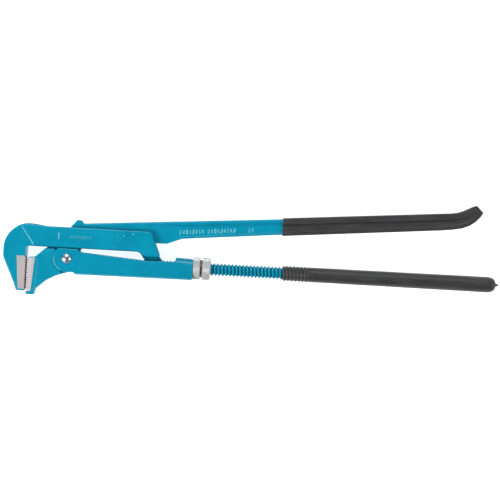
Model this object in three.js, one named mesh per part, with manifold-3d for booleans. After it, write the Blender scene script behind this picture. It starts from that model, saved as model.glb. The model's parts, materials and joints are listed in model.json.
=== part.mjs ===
// Lever pipe wrench with jaws at 90 degrees to the handles.
//
// The hook lever is one forging: hook head, two-cheeked shank, foot, threaded rod and lower handle.
// A channel-shaped housing slides on the rod and carries the pivot of the jaw lever, whose plate
// passes up through the slot between the cheeks and runs on as the upper handle. A knurled nut on
// the rod sets where the housing stands.
//
// Millimetres. X runs along the threaded rod towards the handle ends, Y from the lower handle to
// the upper one, Z through the thickness. All sizes are first laid out from the rod's axis and the
// pivot, with the tool's mid-plane at Z = 0, and the finished tool is then set down on Z = 0.

import * as THREE from 'three';
import { mergeVertices } from 'three/addons/utils/BufferGeometryUtils.js';
import Module from 'manifold-3d';

const wasm = await Module();
wasm.setup();

// Driving dimensions
const GAP = 0.3;
const PIVOT = { x: 0, y: 3.3 };

const HEAD_THICKNESS = 20;
const SHANK_THICKNESS = 22;
const SHANK_TOP = 38.7;
const SHANK_BOTTOM = 15.3;
const SHANK_REAR = 106;
const SLOT_WIDTH = 10.4;
const SLOT_FRONT = -31;
const FOOT_FRONT = 87;
const FOOT_FLOOR = 14.6;
const FOOT_LEDGE = 10.5;
const NECK_WIDTH = 14;

const THREAD_PITCH = 4.11;
const THREAD_CREST = 7.35;
const THREAD_ROOT = 5.7;
const THREAD_START = 106;
const THREAD_END = 276;
const THREAD_SIDES = 16;
const THREAD_CLEARANCE = 0.42;

const BAR_RADIUS = 6.9;
const BAR_END = 482;

const FACE_X = -45.1;
const FACE_HALF_GAP = 0.2;
const JAW_TOP = 1.6;
const TOOTH_PITCH = 2.75;
const TOOTH_DEPTH = 1.2;
const TEETH = 13;
const PLATE_LEFT = -56.4;
const HOOK_TEETH_TOP = 2.2;
const HOOK_PLATE_TOP = 3.9;
const HOOK_PLATE_BOTTOM = HOOK_TEETH_TOP - TEETH * TOOTH_PITCH;

const BOSS_THICKNESS = 15;
const PLATE_THICKNESS = 9.6;
const PLATE_TAPER_START = 98;
const PLATE_TAPER_END = 142;
const FLANGE_THICKNESS = 10.8;
const FLANGE_HEIGHT = 5;
const WEB_THICKNESS = 6.4;
const RIM_THICKNESS = 8.2;
const RIM_HEIGHT = 3;
const LOBE_CLEAR_RADIUS = 15.8;

const HOUSING_WIDTH = 24;
const CHANNEL_WIDTH = 15.6;
const CHANNEL_FLOOR = -10.6;
const HOUSING_BOTTOM = -14.5;
const SLEEVE_FRONT = 122.7;
const SLEEVE_REAR = 142.5;
const SLEEVE_TOP = 11.3;
const SLEEVE_BORE = THREAD_CREST + 0.4;

const RIVET_RADIUS = 4;
const RIVET_HEAD_RADIUS = 5.6;
const RIVET_HEAD_HEIGHT = 2.9;

const NUT_RADIUS = 12.5;
const NUT_GROOVE_RADIUS = 9.9;
const NUT_FRONT = 142.8;
const NUT_FRONT_RING = 7.8;
const NUT_GROOVE = 2.7;
const NUT_REAR_RING = 9.3;

const SPRING_WIDTH = 9;
const SPRING_THICKNESS = 1;
const SPRING_RIVET_X = 48;
const SPRING_RIVET_RADIUS = 1.5;
const SPRING_HEAD_RADIUS = 2.8;

const COAT = 1.4;
const HANDLE_TOP = 61.1;
const HANDLE_TOP_SLOPE = 0.0781;
const UPPER_GRIP_START = 241.3;
const LOWER_GRIP_START = 244;
const LOWER_GRIP_RIDGES = 7;

const FINISHES = {
  paint: { color: 0x0496b8, roughness: 0.32, metalness: 0.1 },
  steel: { color: 0xc8c0c0, roughness: 0.4, metalness: 0.9 },
  zinc: { color: 0xd0d0d0, roughness: 0.3, metalness: 1 },
  chrome: { color: 0xe0e4e8, roughness: 0.1, metalness: 1 },
  spring: { color: 0x50555a, roughness: 0.45, metalness: 0.8 },
  coat: { color: 0x2e2e30, roughness: 0.6, metalness: 0 },
};

// Solids ---------------------------------------------------------------------------------------

// A closed geometry becomes a solid once its doubled vertices and empty triangles are gone.
function solid(geometry) {
  geometry.deleteAttribute('normal');
  geometry.deleteAttribute('uv');
  const merged = mergeVertices(geometry, 1e-4);
  const corners = merged.index.array;
  const triangles = [];
  for (let i = 0; i < corners.length; i += 3) {
    const [a, b, c] = corners.slice(i, i + 3);
    if (a !== b && b !== c && c !== a) triangles.push(a, b, c);
  }
  return new wasm.Manifold(new wasm.Mesh({
    numProp: 3,
    vertProperties: merged.attributes.position.array,
    triVerts: new Uint32Array(triangles),
  }));
}

// An outline through corners [x, y, radius], each rounded by an arc of that radius.
function outline(corners, degreesPerStep = 20) {
  const points = [];
  corners.forEach(([x, y, radius = 0], i) => {
    const here = new THREE.Vector2(x, y);
    if (radius === 0) {
      points.push(here);
      return;
    }
    const back = new THREE.Vector2(...corners.at(i - 1)).sub(here).normalize();
    const ahead = new THREE.Vector2(...corners[(i + 1) % corners.length]).sub(here).normalize();
    const half = Math.acos(back.dot(ahead)) / 2;
    const centre = back.clone().add(ahead).normalize().multiplyScalar(radius / Math.sin(half)).add(here);
    const from = back.clone().multiplyScalar(radius / Math.tan(half)).add(here).sub(centre);
    const sweep = (Math.PI - 2 * half) * Math.sign(ahead.cross(back));
    const steps = Math.max(1, Math.ceil(THREE.MathUtils.radToDeg(Math.abs(sweep)) / degreesPerStep));
    for (let step = 0; step <= steps; step += 1) {
      const spoke = from.clone().rotateAround(new THREE.Vector2(), (sweep * step) / steps);
      points.push(spoke.add(centre));
    }
  });
  return new THREE.Shape(points);
}

// A plate of the given outline, centred on the mid-plane, with its edges bevelled.
function plate(shape, thickness, bevel = 0) {
  const geometry = new THREE.ExtrudeGeometry(shape, {
    depth: thickness - 2 * bevel,
    bevelEnabled: bevel > 0,
    bevelThickness: bevel,
    bevelSize: bevel,
    bevelOffset: -bevel,
    bevelSegments: 1,
  });
  geometry.translate(0, 0, bevel - thickness / 2);
  return solid(geometry);
}

function block(low, high) {
  const size = high.map((value, i) => value - low[i]);
  const geometry = new THREE.BoxGeometry(...size);
  geometry.translate(...low.map((value, i) => value + size[i] / 2));
  return solid(geometry);
}

// A slab of the outline [x, z], standing from one height in Y to another.
function slab(corners, low, high) {
  const shape = new THREE.Shape(corners.map(([x, z]) => new THREE.Vector2(x, z)));
  const geometry = new THREE.ExtrudeGeometry(shape, { depth: high - low, bevelEnabled: false });
  geometry.rotateX(Math.PI / 2);
  geometry.translate(0, high, 0);
  return solid(geometry);
}

// A body turned about the rod's axis, from a profile of [x, radius].
function turned(profile, sides = 32) {
  const points = profile.map(([x, radius]) => new THREE.Vector2(radius, x));
  const geometry = new THREE.LatheGeometry(points, sides);
  geometry.rotateZ(-Math.PI / 2);
  return solid(geometry);
}

// A body turned about the pivot's axis, from a profile of [z, radius].
function turnedAcross(profile, sides = 28) {
  const points = profile.map(([z, radius]) => new THREE.Vector2(radius, z));
  const geometry = new THREE.LatheGeometry(points, sides);
  geometry.rotateX(Math.PI / 2);
  geometry.translate(PIVOT.x, PIVOT.y, 0);
  return solid(geometry);
}

// A cylinder about the pivot's axis, long enough to cut through every piece.
function pivotCylinder(radius, sides) {
  const reach = HOUSING_WIDTH;
  return turnedAcross([[-reach, 0], [-reach, radius], [reach, radius], [reach, 0]], sides);
}

// A right-hand screw thread about the rod's axis. Every length starts on the same helix.
function thread(root, crest, start, length) {
  const first = Math.floor(start / THREAD_PITCH) * THREAD_PITCH;
  const steps = Math.ceil(length / THREAD_PITCH + 1) * THREAD_SIDES;
  const points = [];
  const place = (radius, turns) => {
    const angle = 2 * Math.PI * turns;
    points.push(radius * Math.cos(angle), radius * Math.sin(angle));
  };
  for (let step = 0; step <= steps; step += 1) {
    const turns = step / THREAD_SIDES;
    points.push(first + THREAD_PITCH * turns);
    place(root, turns);
    points.push(first + THREAD_PITCH * (turns + 0.5));
    place(crest, turns);
  }
  const rootAt = (step) => 2 * step;
  const crestAt = (step) => 2 * step + 1;
  const front = points.length / 3;
  points.push(first - THREAD_PITCH, 0, 0);
  points.push(first + THREAD_PITCH * (steps / THREAD_SIDES + 1), 0, 0);
  const triangles = [];
  const strip = (a, b, c, d) => triangles.push(a, b, c, a, c, d);
  for (let step = 0; step < steps; step += 1) {
    const over = step + THREAD_SIDES;
    strip(rootAt(step), rootAt(step + 1), crestAt(step + 1), crestAt(step));
    if (over < steps) strip(crestAt(step), crestAt(step + 1), rootAt(over + 1), rootAt(over));
    if (step < THREAD_SIDES) triangles.push(front, rootAt(step + 1), rootAt(step));
    if (over >= steps) triangles.push(front + 1, crestAt(step), crestAt(step + 1));
  }
  triangles.push(front, rootAt(0), crestAt(0));
  triangles.push(front, crestAt(0), rootAt(THREAD_SIDES));
  triangles.push(front + 1, crestAt(steps), rootAt(steps));
  triangles.push(front + 1, rootAt(steps), crestAt(steps - THREAD_SIDES));
  const geometry = new THREE.BufferGeometry();
  geometry.setAttribute('position', new THREE.Float32BufferAttribute(points, 3));
  geometry.setIndex(triangles);
  return solid(geometry);
}

// The pieces ------------------------------------------------------------------------------------

// The toothed edge of a jaw plate, from its top down, with the tips on the line X = tip.
function toothedEdge(tip, valley, top) {
  const edge = [];
  for (let tooth = 0; tooth < TEETH; tooth += 1) {
    const y = top - tooth * TOOTH_PITCH;
    edge.push([valley, y]);
    edge.push([tip, y - TOOTH_PITCH / 2]);
  }
  edge.push([valley, top - TEETH * TOOTH_PITCH]);
  return edge;
}

const hookTip = FACE_X - FACE_HALF_GAP;
const leverTip = FACE_X + FACE_HALF_GAP;

const hookPlateOutline = [
  [PLATE_LEFT, HOOK_PLATE_TOP],
  [hookTip - TOOTH_DEPTH, HOOK_PLATE_TOP],
  ...toothedEdge(hookTip, hookTip - TOOTH_DEPTH, HOOK_TEETH_TOP),
  [PLATE_LEFT + 3, HOOK_PLATE_BOTTOM],
];

const leverPlateOutline = [
  [leverTip + TOOTH_DEPTH, JAW_TOP],
  [-35.8, JAW_TOP + 0.5],
  [-38.8, -35.6],
  [leverTip + TOOTH_DEPTH, -35.9],
  ...toothedEdge(leverTip, leverTip + TOOTH_DEPTH, JAW_TOP - 0.6).reverse(),
];

function hookLever() {
  const head = plate(outline([
    [-24, SHANK_TOP, 0],
    [-38, 40.8, 16],
    [-52.6, 41.3, 24],
    [-72, 25.2, 28],
    [-72, 2.2, 12],
    [-58.4, -27, 8],
    [-55.6, HOOK_PLATE_BOTTOM - 2, 2.4],
    [hookTip - TOOTH_DEPTH, HOOK_PLATE_BOTTOM - 2, 0],
    [hookTip - 0.5, 2, 0],
    [-45.7, SHANK_BOTTOM, 1.6],
    [-24, SHANK_BOTTOM, 0],
  ]), HEAD_THICKNESS, 1.2);
  const shank = plate(outline([
    [-53.2, 37.3, 0],
    [-38.2, 16.3, 2],
    [-30, SHANK_BOTTOM, 4],
    [80, SHANK_BOTTOM, 6],
    [FOOT_FRONT, FOOT_LEDGE, 3],
    [SHANK_REAR - 0.6, FOOT_LEDGE, 0],
    [94.3, SHANK_TOP, 8],
    [-27, SHANK_TOP, 20],
    [-49.5, 40.2, 4],
  ]), SHANK_THICKNESS, 1.2);
  const neck = plate(outline([
    [82, 14.2, 0],
    [87.3, 6.8, 1.5],
    [87.3, -6.6, 4],
    [THREAD_START + 2, -6.6, 3],
    [THREAD_START + 2, 6.2, 3],
    [102, 13, 0],
  ]), NECK_WIDTH, 1);
  const bar = turned([
    [THREAD_END - 8, 0],
    [THREAD_END - 8, THREAD_ROOT],
    [THREAD_END, BAR_RADIUS],
    [BAR_END - 4, BAR_RADIUS],
    [BAR_END, BAR_RADIUS - 3],
    [BAR_END, 0],
  ], 24);
  const rodReach = turned([
    [THREAD_START - 2, 0],
    [THREAD_START - 2, 10],
    [THREAD_END, 10],
    [THREAD_END, 0],
  ]);
  const rod = thread(THREAD_ROOT, THREAD_CREST, THREAD_START, THREAD_END - THREAD_START)
    .intersect(rodReach);
  const slotHalf = SLOT_WIDTH / 2;
  const openSlot = block([SLOT_FRONT, FOOT_FLOOR, -slotHalf], [120, 60, slotHalf]);
  const throughSlot = block([SLOT_FRONT, 0, -slotHalf], [80, 20, slotHalf]);
  const pocket = plate(outline([
    [PLATE_LEFT - GAP, HOOK_PLATE_TOP + GAP],
    [-30, HOOK_PLATE_TOP + GAP],
    [-30, HOOK_TEETH_TOP],
    [-44, HOOK_TEETH_TOP],
    [-44, HOOK_PLATE_BOTTOM - GAP],
    [PLATE_LEFT + 3 - GAP, HOOK_PLATE_BOTTOM - GAP],
  ]), HEAD_THICKNESS + 4);
  return head.subtract(pocket).add(shank).subtract(openSlot).subtract(throughSlot)
    .add(neck).add(rod).add(bar);
}

function hookJawPlate() {
  return plate(outline(hookPlateOutline), HEAD_THICKNESS);
}

function leverJawPlate() {
  return plate(outline(leverPlateOutline), HEAD_THICKNESS);
}

// Corners of the upper handle's side view, each face set in by the given amount.
function handleOutline(inset) {
  return [
    [238, 41.8 + inset, 0],
    [419.5, 58.2 + inset, 30],
    [449.5, 61.2 + inset, 24],
    [465.5 - inset, 77.5 + inset * 0.5, 1.6],
    [467 - inset, 80.6 - inset * 0.5, 1.6],
    [458.6, 89.2 - inset, 2.6],
    [438.5, 78.8 - inset, 26],
    [420, 77.4 - inset, 0],
    [238, 62.3 - inset, 0],
  ];
}

const BEAK = [
  [16.6, 43.8, 2],
  [14.9, 47.2, 2],
  [9.5, 47.8, 2.5],
  [2.3, 39.1, 0],
];

function jawLever() {
  const core = handleOutline(COAT);
  const side = [
    [-34, 4.6, 0],
    [-34, -11, 0],
    [-26, -22, 0],
    [-4, -13.5, 6],
    [10, -9, 7],
    [13.6, 5, 5],
    [15.2, 16.2, 4],
    [98, 25.3, 6],
    [109, 25.3, 8],
    [126, 32.4, 12],
    ...core,
    ...BEAK,
  ];
  const web = plate(outline(side), WEB_THICKNESS);
  const plateZone = slab([
    [-50, -PLATE_THICKNESS],
    [PLATE_TAPER_START, -PLATE_THICKNESS / 2],
    [PLATE_TAPER_END, -WEB_THICKNESS / 2],
    [PLATE_TAPER_END, WEB_THICKNESS / 2],
    [PLATE_TAPER_START, PLATE_THICKNESS / 2],
    [-50, PLATE_THICKNESS],
  ], -50, 60);
  const body = plate(outline(side), PLATE_THICKNESS, 0.8).intersect(plateZone);
  const topLine = (x) => HANDLE_TOP + (x - 238) * HANDLE_TOP_SLOPE;
  const flange = plate(outline([
    [17.5, topLine(17.5), 0],
    [17.5, 40.2, 0],
    [26, 39.7, 0],
    [238, HANDLE_TOP - FLANGE_HEIGHT, 0],
    [420, 76 - FLANGE_HEIGHT, 20],
    [440, 73.4, 0],
    [448, 75, 0],
    ...core.slice(3, 8),
    [238, 60.9, 0],
  ]), FLANGE_THICKNESS, 1);
  const rim = plate(outline([
    [99, 25.4, 0],
    [109, 25.4, 8],
    [126, 32.5, 12],
    ...core.slice(0, 4),
    [455, 80, 0],
    [443, 70, 0],
    [420, 59.6 + RIM_HEIGHT, 0],
    [238, 43.2 + RIM_HEIGHT, 0],
    [126, 32.4 + RIM_HEIGHT, 12],
    [109, 25.3 + RIM_HEIGHT, 8],
    [99, 25.3 + RIM_HEIGHT, 0],
  ]), RIM_THICKNESS, 0.8);
  const jaw = plate(outline([
    [-44, JAW_TOP + 1.4, 1.2],
    [-35.6, 3.7, 3],
    [-24.4, 13.8, 2],
    [-14, 13.8, 0],
    [-8, 0, 0],
    [-5.4, -14.2, 0],
    [-12, -16.6, 6],
    [-23, -22.6, 10],
    [-33.4, -32.6, 4],
    [-33.9, -39.3, 1.8],
    [-43.9, -39.3, 1.4],
    [-43.9, -36.8, 0],
  ]), HEAD_THICKNESS, 1);
  const boss = plate(outline([
    [-20, 10, 0],
    [-24, -20, 0],
    [-12, -16.6, 6],
    [2, -12, 8],
    [12.5, -8, 8],
    [12.5, 13.6, 8],
    [-16, 13.6, 3],
  ]), BOSS_THICKNESS, 0.8);
  const pocket = plate(outline([
    [-50, JAW_TOP + GAP],
    [-50, -35.9 - GAP],
    [-38.8 + GAP, -35.6 - GAP],
    [-35.8 + GAP, JAW_TOP + 0.5 + GAP],
  ]), HEAD_THICKNESS + 4);
  return jaw.subtract(pivotCylinder(LOBE_CLEAR_RADIUS, 48))
    .add(boss).add(body).add(web).add(flange).add(rim)
    .subtract(pocket).subtract(pivotCylinder(RIVET_RADIUS + GAP));
}

function slideHousing() {
  const side = plate(outline([
    [-8.6, 14.7, 3],
    [-17.4, 5, 14],
    [-9.2, -9.6, 12],
    [-1, -12.3, 5],
    [8, -11.8, 0],
    [10.8, HOUSING_BOTTOM, 0],
    [SLEEVE_REAR, HOUSING_BOTTOM, 1.6],
    [SLEEVE_REAR, SLEEVE_TOP, 1.6],
    [SLEEVE_FRONT, SLEEVE_TOP, 1.6],
    [SLEEVE_FRONT, 6.4, 2],
    [88, 5.7, 12],
    [15, 11.3, 2],
    [12.4, 14.7, 2],
  ]), HOUSING_WIDTH, 0.8);
  const half = HOUSING_WIDTH / 2;
  const section = (top, topRadius) => outline([
    [-half, HOUSING_BOTTOM, 6],
    [half, HOUSING_BOTTOM, 6],
    [half, top, topRadius],
    [-half, top, topRadius],
  ]);
  const along = (shape, start, end) => {
    const geometry = new THREE.ExtrudeGeometry(shape, { depth: end - start, bevelEnabled: false });
    geometry.rotateY(Math.PI / 2);
    geometry.translate(start, 0, 0);
    return solid(geometry);
  };
  const overChannel = along(section(20, 0), -30, SLEEVE_FRONT);
  const overSleeve = along(section(SLEEVE_TOP, 8), SLEEVE_FRONT - 1, 160);
  const channelHalf = CHANNEL_WIDTH / 2;
  const channel = block([9, CHANNEL_FLOOR, -channelHalf], [SLEEVE_FRONT - 3.5, 40, channelHalf]);
  const fork = block([-30, -40, -channelHalf], [10, 40, channelHalf]);
  const rodBore = turned([[100, 0], [100, SLEEVE_BORE], [150, SLEEVE_BORE], [150, 0]], 32);
  const springBore = springRivetTool(SPRING_RIVET_RADIUS + GAP, 0, -30, 0);
  return side.intersect(overChannel.add(overSleeve)).subtract(channel).subtract(fork).subtract(rodBore)
    .subtract(pivotCylinder(RIVET_RADIUS + GAP)).subtract(springBore);
}

// The domed profile of a rivet head, from its rim to its crown.
function dome(base, radius, height, steps = 5) {
  const profile = [];
  for (let step = 0; step <= steps; step += 1) {
    const angle = (step / steps) * (Math.PI / 2);
    const distance = step === steps ? 0 : radius * Math.cos(angle);
    profile.push([base + Math.sign(base) * height * Math.sin(angle), distance]);
  }
  return profile;
}

function pivotRivet() {
  const seat = HOUSING_WIDTH / 2 + GAP;
  return turnedAcross([
    ...dome(-seat, RIVET_HEAD_RADIUS, RIVET_HEAD_HEIGHT).reverse(),
    [-seat, RIVET_RADIUS],
    [seat, RIVET_RADIUS],
    ...dome(seat, RIVET_HEAD_RADIUS, RIVET_HEAD_HEIGHT),
  ]);
}

// A body turned about the spring rivet's axis, with an optional head at its top.
function springRivetTool(radius, headRadius, low, high) {
  const profile = [[0, low], [radius, low], [radius, high]];
  if (headRadius > 0) profile.push([headRadius, high], [headRadius, high + 0.6], [1.4, high + 1.2]);
  profile.push([0, profile.at(-1)[1]]);
  const geometry = new THREE.LatheGeometry(profile.map(([r, y]) => new THREE.Vector2(r, y)), 16);
  geometry.translate(SPRING_RIVET_X, 0, 0);
  return solid(geometry);
}

function springRivet() {
  const springTop = CHANNEL_FLOOR + GAP + SPRING_THICKNESS;
  return springRivetTool(SPRING_RIVET_RADIUS, SPRING_HEAD_RADIUS, HOUSING_BOTTOM + 0.4, springTop + GAP);
}

function leafSpring() {
  const low = CHANNEL_FLOOR + GAP;
  const high = low + SPRING_THICKNESS;
  const strip = plate(outline([
    [54, low],
    [54, high],
    [24.5, high, 8],
    [13.6, -6.2, 2],
    [12.4, -7, 0],
    [14, -7.9, 2],
    [24, low, 8],
  ]), SPRING_WIDTH);
  return strip.subtract(springRivetTool(SPRING_RIVET_RADIUS + GAP, 0, -30, 0));
}

function adjustingNut() {
  const grooveFront = NUT_FRONT + NUT_FRONT_RING;
  const grooveRear = grooveFront + NUT_GROOVE;
  const rear = grooveRear + NUT_REAR_RING;
  const body = turned([
    [NUT_FRONT, 0],
    [NUT_FRONT, NUT_RADIUS - 0.5],
    [NUT_FRONT + 0.5, NUT_RADIUS],
    [grooveFront, NUT_RADIUS],
    [grooveFront, NUT_GROOVE_RADIUS],
    [grooveRear, NUT_GROOVE_RADIUS],
    [grooveRear, NUT_RADIUS],
    [rear - 1.2, NUT_RADIUS],
    [rear, NUT_RADIUS - 1.6],
    [rear, 0],
  ], 48);
  const bore = thread(
    THREAD_ROOT + THREAD_CLEARANCE,
    THREAD_CREST + THREAD_CLEARANCE,
    NUT_FRONT - 2 * THREAD_PITCH,
    rear - NUT_FRONT + 5 * THREAD_PITCH,
  );
  return body.subtract(bore);
}

// The coat follows the handle's section, so it is the handle's own shape, grown and then hollowed.
function upperGrip() {
  const shell = (grow, start) => {
    const side = handleOutline(COAT - grow);
    const zone = block([start, 0, -20], [500, 120, 20]);
    const web = plate(outline(side), WEB_THICKNESS + 2 * grow);
    const flange = plate(outline([
      [238, 60.9 + grow, 0],
      [238, HANDLE_TOP - FLANGE_HEIGHT - grow, 0],
      [420, 76 - FLANGE_HEIGHT - grow, 0],
      [440, 73.4 - grow, 0],
      [448, 75 - grow, 0],
      ...side.slice(3, 8),
    ]), FLANGE_THICKNESS + 2 * grow, 1);
    const rim = plate(outline([
      ...side.slice(0, 4),
      [455 - grow, 80 + grow, 0],
      [443 - grow, 70 + grow, 0],
      [420, 59.6 + RIM_HEIGHT + grow, 0],
      [238, 43.2 + RIM_HEIGHT + grow, 0],
    ]), RIM_THICKNESS + 2 * grow, 0.8);
    return web.add(flange).add(rim).intersect(zone);
  };
  return shell(COAT, UPPER_GRIP_START).subtract(shell(GAP, 230));
}

function lowerGrip() {
  const ridges = [];
  const ridgeLow = THREAD_CREST + 0.85;
  for (let ridge = 0; ridge < LOWER_GRIP_RIDGES; ridge += 1) {
    const x = LOWER_GRIP_START + 1.6 + ridge * THREAD_PITCH;
    const height = 0.7 * (1 - ridge / LOWER_GRIP_RIDGES);
    ridges.push([x, ridgeLow], [x + THREAD_PITCH / 2, ridgeLow + height]);
  }
  return turned([
    [LOWER_GRIP_START, THREAD_CREST + GAP],
    [LOWER_GRIP_START, ridgeLow],
    ...ridges,
    [THREAD_END + 2, ridgeLow],
    [420, 8.6],
    [474, 8.8],
    [480, 8.1],
    [484, 6],
    [485.4, 2.6],
    [488.6, 0.8],
    [488.6, 0],
    [BAR_END + GAP, 0],
    [BAR_END + GAP, BAR_RADIUS - 2.8],
    [BAR_END - 4, BAR_RADIUS + GAP],
    [THREAD_END + 1, BAR_RADIUS + GAP],
    [THREAD_END + 1, THREAD_CREST + GAP],
    [LOWER_GRIP_START, THREAD_CREST + GAP],
  ], 28);
}

// The tool --------------------------------------------------------------------------------------

function piece(name, shape, finish) {
  const { vertProperties, triVerts } = shape.getMesh();
  const geometry = new THREE.BufferGeometry();
  geometry.setAttribute('position', new THREE.BufferAttribute(vertProperties, 3));
  geometry.setIndex(new THREE.BufferAttribute(triVerts, 1));
  geometry.computeVertexNormals();
  const mesh = new THREE.Mesh(geometry, new THREE.MeshStandardMaterial(FINISHES[finish]));
  mesh.name = name;
  return mesh;
}

const wrench = new THREE.Group();
wrench.add(
  piece('hook_lever', hookLever(), 'paint'),
  piece('hook_jaw_plate', hookJawPlate(), 'steel'),
  piece('jaw_lever', jawLever(), 'paint'),
  piece('lever_jaw_plate', leverJawPlate(), 'steel'),
  piece('slide_housing', slideHousing(), 'paint'),
  piece('pivot_rivet', pivotRivet(), 'chrome'),
  piece('adjusting_nut', adjustingNut(), 'zinc'),
  piece('leaf_spring', leafSpring(), 'spring'),
  piece('spring_rivet', springRivet(), 'spring'),
  piece('upper_grip', upperGrip(), 'coat'),
  piece('lower_grip', lowerGrip(), 'coat'),
);

// The origin goes to the middle of the tool's footprint, on the surface it lies on.
const extent = new THREE.Box3().setFromObject(wrench);
const middle = extent.getCenter(new THREE.Vector3());
wrench.position.set(-middle.x, -middle.y, -extent.min.z);

export default wrench;
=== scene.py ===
"""The visual model of a lever pipe wrench, laid out as a Blender add-on and run as a script."""

import json
import math

import bmesh
import bpy
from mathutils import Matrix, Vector

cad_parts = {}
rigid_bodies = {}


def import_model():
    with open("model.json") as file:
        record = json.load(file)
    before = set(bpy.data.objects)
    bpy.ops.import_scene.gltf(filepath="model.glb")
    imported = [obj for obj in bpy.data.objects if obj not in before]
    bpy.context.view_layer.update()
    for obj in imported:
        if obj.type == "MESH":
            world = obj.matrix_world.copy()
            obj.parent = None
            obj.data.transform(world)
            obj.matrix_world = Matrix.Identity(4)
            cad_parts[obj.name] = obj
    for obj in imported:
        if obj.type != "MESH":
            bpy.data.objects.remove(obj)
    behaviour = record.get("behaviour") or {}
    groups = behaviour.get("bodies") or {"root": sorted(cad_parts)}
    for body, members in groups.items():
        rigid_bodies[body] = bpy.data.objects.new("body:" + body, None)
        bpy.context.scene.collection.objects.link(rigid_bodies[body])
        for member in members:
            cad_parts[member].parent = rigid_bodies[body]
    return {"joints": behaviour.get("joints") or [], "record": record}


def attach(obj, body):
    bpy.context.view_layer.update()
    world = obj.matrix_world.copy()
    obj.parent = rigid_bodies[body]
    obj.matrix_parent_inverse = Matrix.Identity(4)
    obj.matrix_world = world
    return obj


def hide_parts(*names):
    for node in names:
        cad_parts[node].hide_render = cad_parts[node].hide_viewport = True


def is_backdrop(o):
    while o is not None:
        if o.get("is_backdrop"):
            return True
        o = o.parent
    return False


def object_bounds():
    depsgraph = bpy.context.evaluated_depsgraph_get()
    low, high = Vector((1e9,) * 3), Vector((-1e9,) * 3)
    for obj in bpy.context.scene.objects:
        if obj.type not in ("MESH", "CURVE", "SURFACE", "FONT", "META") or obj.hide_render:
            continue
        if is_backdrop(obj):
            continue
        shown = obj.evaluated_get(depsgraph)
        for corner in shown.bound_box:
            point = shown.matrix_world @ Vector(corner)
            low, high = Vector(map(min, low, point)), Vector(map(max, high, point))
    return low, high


bl_info = {
    "name": "Lever Pipe Wrench",
    "version": (1, 0, 0),
    "blender": (4, 5, 0),
    "location": "3D View > Sidebar > Wrench",
    "description": "Builds a forged lever pipe wrench piece by piece round its fixed frame",
    "category": "Add Mesh",
}

for leftover in list(bpy.data.objects):
    bpy.data.objects.remove(leftover)

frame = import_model()
JOINTS = {joint["name"]: joint for joint in frame["joints"]}
PIVOT_X = JOINTS["lever_pivot"]["pos_m"][0]
PIVOT_Y = JOINTS["lever_pivot"]["pos_m"][1]
AXIS_Y, MIDDLE_Z = JOINTS["nut_turn"]["pos_m"][1:]
RATIO = frame["record"]["behaviour"]["couplings"][0]["ratio"]
PITCH = 2000 * math.pi / RATIO
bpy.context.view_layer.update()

# Outlines are in millimetres from the pivot along the rod's axis (X), and from that axis (Y, Z).
PIVOT = (0.0, (PIVOT_Y - AXIS_Y) * 1000)
HEAD_WIDTH = 20.0
SHANK_WIDTH = 22.0
SHANK_TOP = 38.7
SHANK_BOTTOM = 15.3
FACE_X = -45.1
FACE_GAP = 0.2
TOOTH_DEPTH = 1.5
JAW_TOP = 1.6
TEETH = 13
TOOTH_PITCH = 2.75
HOOK_TEETH_TOP = 2.2
LEDGE_Y = HOOK_TEETH_TOP - TEETH * TOOTH_PITCH
SLOT_HALF = 5.2
SLOT_PLATE = 9.6
LEVER_WEB = 6.4
TAPER_START, TAPER_END = 98, 142
SPRING_RIVET = (48, 0)

# Radius at which a turned body is closed round its own axis.
CLOSED = 0.01

# Places of a piece's other finishes in its list of materials, after the main one at 0: painted highlight,
# print and painted shade. On the nut and the jaw plates, place 1 holds painted shade.
PAINTED_HIGHLIGHT, PRINT, SHADED = 1, 2, 3
GROOVE = 1
TOOTH_SHADE = 1

MERGE_REACH = 0.00003
BEVEL_ANGLE = math.radians(40)
SHARP_ANGLE = math.radians(32)


# Placing and joining meshes ----------------------------------------------------------------


def place(x, y, z):
    """A point of the tool, in millimetres from the pivot and the rod, as a point of the frame."""
    return Vector((PIVOT_X + x / 1000, AXIS_Y + y / 1000, MIDDLE_Z + z / 1000))


def new_object(name, points, faces):
    """A mesh object from points in the tool's millimetres."""
    mesh = bpy.data.meshes.new(name)
    mesh.from_pydata([place(*point) for point in points], [], faces)
    mesh.validate()
    item = bpy.data.objects.new(name, mesh)
    bpy.context.scene.collection.objects.link(item)
    return item


def outline(corners, fixed=0):
    """Points round corners (x, y, radius), each rounded by an arc, in fixed steps if asked."""
    points = []
    for i, (x, y, radius) in enumerate(corners):
        here = Vector((x, y))
        if radius == 0:
            points.append(here)
            continue
        back = (Vector(corners[i - 1][:2]) - here).normalized()
        ahead = (Vector(corners[(i + 1) % len(corners)][:2]) - here).normalized()
        half = math.acos(max(-1.0, min(1.0, back.dot(ahead)))) / 2
        centre = here + (back + ahead).normalized() * (radius / math.sin(half))
        spoke = here + back * (radius / math.tan(half)) - centre
        turn = math.pi - 2 * half
        sweep = math.copysign(turn, ahead.cross(back))
        steps = fixed or max(1, math.ceil(math.degrees(turn) / (4.5 if radius > 10 else 9.0)))
        for step in range(steps + 1):
            angle = sweep * step / steps
            cos, sin = math.cos(angle), math.sin(angle)
            points.append(centre + Vector((spoke.x * cos - spoke.y * sin, spoke.x * sin + spoke.y * cos)))
    area = sum(a.cross(b) for a, b in zip(points, points[1:] + points[:1]))
    return points if area > 0 else points[::-1]


def inset_points(points, distance):
    """The outline moved inwards by a distance, each point along its own mitre."""
    moved = []
    for i, here in enumerate(points):
        first = (here - points[i - 1]).normalized()
        second = (points[(i + 1) % len(points)] - here).normalized()
        inward = Vector((-first.y - second.y, first.x + second.x))
        moved.append(here + inward * (distance / (1 + first.dot(second))))
    return moved


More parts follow.
